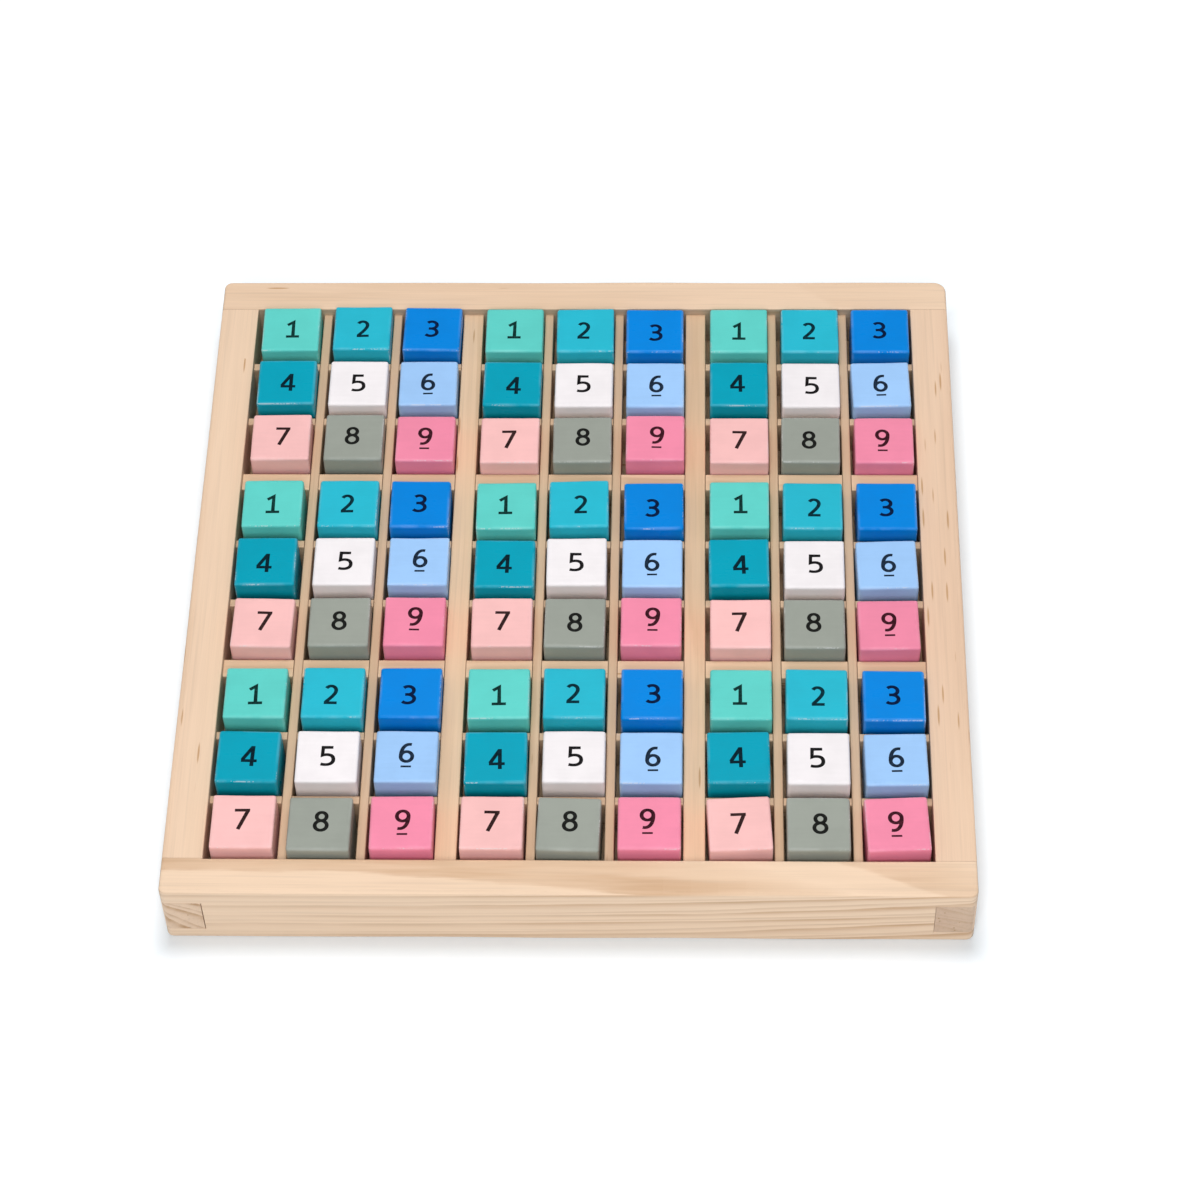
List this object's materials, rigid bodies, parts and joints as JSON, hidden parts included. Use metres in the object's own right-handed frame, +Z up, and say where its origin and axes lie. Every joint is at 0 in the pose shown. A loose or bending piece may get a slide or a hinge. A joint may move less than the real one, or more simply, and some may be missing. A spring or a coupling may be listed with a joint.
{
  "type": "sudoku board",
  "caption": "Shallow square pine tray with a strip grid of cells in boxes, each cell holding a loose painted wooden cube with a number, for solving number puzzles by hand.",
  "frame": {"origin": "middle of the tray's underside, on the surface it stands on", "axes": "+Z up, +Y away from the player to the back rail, +X to the player's right"},
  "size_m": [0.256, 0.256, 0.029],
  "materials": {
    "rail_pine": "sanded pine, uncoated",
    "strip_pine": "planed pine, uncoated",
    "plywood": "thin plywood, uncoated",
    "mint_paint": "wood with smooth satin paint",
    "turquoise_paint": "wood with smooth satin paint",
    "blue_paint": "wood with smooth satin paint",
    "teal_paint": "wood with smooth satin paint",
    "white_paint": "wood with smooth satin paint",
    "sky_paint": "wood with smooth satin paint",
    "blush_paint": "wood with smooth satin paint",
    "sage_paint": "wood with smooth satin paint",
    "pink_paint": "wood with smooth satin paint"
  },
  "bodies": {
    "tray": {"front_rail": "rail_pine", "back_rail": "rail_pine", "left_rail": "rail_pine", "right_rail": "rail_pine", "base_panel": "plywood", "long_strip_1": "strip_pine", "long_strip_2": "strip_pine", "long_strip_3": "strip_pine", "long_strip_4": "strip_pine", "long_strip_5": "strip_pine", "long_strip_6": "strip_pine", "long_strip_7": "strip_pine", "long_strip_8": "strip_pine", "cross_strip_1": "strip_pine", "cross_strip_2": "strip_pine", "cross_strip_3": "strip_pine", "cross_strip_4": "strip_pine", "cross_strip_5": "strip_pine", "cross_strip_6": "strip_pine", "cross_strip_7": "strip_pine", "cross_strip_8": "strip_pine"},
    "front_left_cube_1": {"front_left_cube_1": "mint_paint"},
    "front_left_cube_2": {"front_left_cube_2": "turquoise_paint"},
    "front_left_cube_3": {"front_left_cube_3": "blue_paint"},
    "front_left_cube_4": {"front_left_cube_4": "teal_paint"},
    "front_left_cube_5": {"front_left_cube_5": "white_paint"},
    "front_left_cube_6": {"front_left_cube_6": "sky_paint"},
    "front_left_cube_7": {"front_left_cube_7": "blush_paint"},
    "front_left_cube_8": {"front_left_cube_8": "sage_paint"},
    "front_left_cube_9": {"front_left_cube_9": "pink_paint"},
    "front_middle_cube_1": {"front_middle_cube_1": "mint_paint"},
    "front_middle_cube_2": {"front_middle_cube_2": "turquoise_paint"},
    "front_middle_cube_3": {"front_middle_cube_3": "blue_paint"},
    "front_middle_cube_4": {"front_middle_cube_4": "teal_paint"},
    "front_middle_cube_5": {"front_middle_cube_5": "white_paint"},
    "front_middle_cube_6": {"front_middle_cube_6": "sky_paint"},
    "front_middle_cube_7": {"front_middle_cube_7": "blush_paint"},
    "front_middle_cube_8": {"front_middle_cube_8": "sage_paint"},
    "front_middle_cube_9": {"front_middle_cube_9": "pink_paint"},
    "front_right_cube_1": {"front_right_cube_1": "mint_paint"},
    "front_right_cube_2": {"front_right_cube_2": "turquoise_paint"},
    "front_right_cube_3": {"front_right_cube_3": "blue_paint"},
    "front_right_cube_4": {"front_right_cube_4": "teal_paint"},
    "front_right_cube_5": {"front_right_cube_5": "white_paint"},
    "front_right_cube_6": {"front_right_cube_6": "sky_paint"},
    "front_right_cube_7": {"front_right_cube_7": "blush_paint"},
    "front_right_cube_8": {"front_right_cube_8": "sage_paint"},
    "front_right_cube_9": {"front_right_cube_9": "pink_paint"},
    "rear_cubes_1": {"rear_cubes_1": "mint_paint"},
    "rear_cubes_2": {"rear_cubes_2": "turquoise_paint"},
    "rear_cubes_3": {"rear_cubes_3": "blue_paint"},
    "rear_cubes_4": {"rear_cubes_4": "teal_paint"},
    "rear_cubes_5": {"rear_cubes_5": "white_paint"},
    "rear_cubes_6": {"rear_cubes_6": "sky_paint"},
    "rear_cubes_7": {"rear_cubes_7": "blush_paint"},
    "rear_cubes_8": {"rear_cubes_8": "sage_paint"},
    "rear_cubes_9": {"rear_cubes_9": "pink_paint"}
  },
  "joints": [
    {"name": "rear_lift_1", "type": "slide", "parent": "tray", "child": "rear_cubes_1", "axis": [0, 0, 1], "range_m": [0, 0.03]},
    {"name": "rear_lift_2", "type": "slide", "parent": "tray", "child": "rear_cubes_2", "axis": [0, 0, 1], "range_m": [0, 0.03]},
    {"name": "rear_lift_3", "type": "slide", "parent": "tray", "child": "rear_cubes_3", "axis": [0, 0, 1], "range_m": [0, 0.03]},
    {"name": "rear_lift_4", "type": "slide", "parent": "tray", "child": "rear_cubes_4", "axis": [0, 0, 1], "range_m": [0, 0.03]},
    {"name": "rear_lift_5", "type": "slide", "parent": "tray", "child": "rear_cubes_5", "axis": [0, 0, 1], "range_m": [0, 0.03]},
    {"name": "rear_lift_6", "type": "slide", "parent": "tray", "child": "rear_cubes_6", "axis": [0, 0, 1], "range_m": [0, 0.03]},
    {"name": "rear_lift_7", "type": "slide", "parent": "tray", "child": "rear_cubes_7", "axis": [0, 0, 1], "range_m": [0, 0.03]},
    {"name": "rear_lift_8", "type": "slide", "parent": "tray", "child": "rear_cubes_8", "axis": [0, 0, 1], "range_m": [0, 0.03]},
    {"name": "rear_lift_9", "type": "slide", "parent": "tray", "child": "rear_cubes_9", "axis": [0, 0, 1], "range_m": [0, 0.03]},
    {"name": "front_left_lift_1", "type": "slide", "parent": "tray", "child": "front_left_cube_1", "axis": [0, 0, 1], "range_m": [0, 0.03]},
    {"name": "front_left_lift_2", "type": "slide", "parent": "tray", "child": "front_left_cube_2", "axis": [0, 0, 1], "range_m": [0, 0.03]},
    {"name": "front_left_lift_3", "type": "slide", "parent": "tray", "child": "front_left_cube_3", "axis": [0, 0, 1], "range_m": [0, 0.03]},
    {"name": "front_left_lift_4", "type": "slide", "parent": "tray", "child": "front_left_cube_4", "axis": [0, 0, 1], "range_m": [0, 0.03]},
    {"name": "front_left_lift_5", "type": "slide", "parent": "tray", "child": "front_left_cube_5", "axis": [0, 0, 1], "range_m": [0, 0.03]},
    {"name": "front_left_lift_6", "type": "slide", "parent": "tray", "child": "front_left_cube_6", "axis": [0, 0, 1], "range_m": [0, 0.03]},
    {"name": "front_left_lift_7", "type": "slide", "parent": "tray", "child": "front_left_cube_7", "axis": [0, 0, 1], "range_m": [0, 0.03]},
    {"name": "front_left_lift_8", "type": "slide", "parent": "tray", "child": "front_left_cube_8", "axis": [0, 0, 1], "range_m": [0, 0.03]},
    {"name": "front_left_lift_9", "type": "slide", "parent": "tray", "child": "front_left_cube_9", "axis": [0, 0, 1], "range_m": [0, 0.03]},
    {"name": "front_middle_lift_1", "type": "slide", "parent": "tray", "child": "front_middle_cube_1", "axis": [0, 0, 1], "range_m": [0, 0.03]},
    {"name": "front_middle_lift_2", "type": "slide", "parent": "tray", "child": "front_middle_cube_2", "axis": [0, 0, 1], "range_m": [0, 0.03]},
    {"name": "front_middle_lift_3", "type": "slide", "parent": "tray", "child": "front_middle_cube_3", "axis": [0, 0, 1], "range_m": [0, 0.03]},
    {"name": "front_middle_lift_4", "type": "slide", "parent": "tray", "child": "front_middle_cube_4", "axis": [0, 0, 1], "range_m": [0, 0.03]},
    {"name": "front_middle_lift_5", "type": "slide", "parent": "tray", "child": "front_middle_cube_5", "axis": [0, 0, 1], "range_m": [0, 0.03]},
    {"name": "front_middle_lift_6", "type": "slide", "parent": "tray", "child": "front_middle_cube_6", "axis": [0, 0, 1], "range_m": [0, 0.03]},
    {"name": "front_middle_lift_7", "type": "slide", "parent": "tray", "child": "front_middle_cube_7", "axis": [0, 0, 1], "range_m": [0, 0.03]},
    {"name": "front_middle_lift_8", "type": "slide", "parent": "tray", "child": "front_middle_cube_8", "axis": [0, 0, 1], "range_m": [0, 0.03]},
    {"name": "front_middle_lift_9", "type": "slide", "parent": "tray", "child": "front_middle_cube_9", "axis": [0, 0, 1], "range_m": [0, 0.03]},
    {"name": "front_right_lift_1", "type": "slide", "parent": "tray", "child": "front_right_cube_1", "axis": [0, 0, 1], "range_m": [0, 0.03]},
    {"name": "front_right_lift_2", "type": "slide", "parent": "tray", "child": "front_right_cube_2", "axis": [0, 0, 1], "range_m": [0, 0.03]},
    {"name": "front_right_lift_3", "type": "slide", "parent": "tray", "child": "front_right_cube_3", "axis": [0, 0, 1], "range_m": [0, 0.03]},
    {"name": "front_right_lift_4", "type": "slide", "parent": "tray", "child": "front_right_cube_4", "axis": [0, 0, 1], "range_m": [0, 0.03]},
    {"name": "front_right_lift_5", "type": "slide", "parent": "tray", "child": "front_right_cube_5", "axis": [0, 0, 1], "range_m": [0, 0.03]},
    {"name": "front_right_lift_6", "type": "slide", "parent": "tray", "child": "front_right_cube_6", "axis": [0, 0, 1], "range_m": [0, 0.03]},
    {"name": "front_right_lift_7", "type": "slide", "parent": "tray", "child": "front_right_cube_7", "axis": [0, 0, 1], "range_m": [0, 0.03]},
    {"name": "front_right_lift_8", "type": "slide", "parent": "tray", "child": "front_right_cube_8", "axis": [0, 0, 1], "range_m": [0, 0.03]},
    {"name": "front_right_lift_9", "type": "slide", "parent": "tray", "child": "front_right_cube_9", "axis": [0, 0, 1], "range_m": [0, 0.03]}
  ]
}
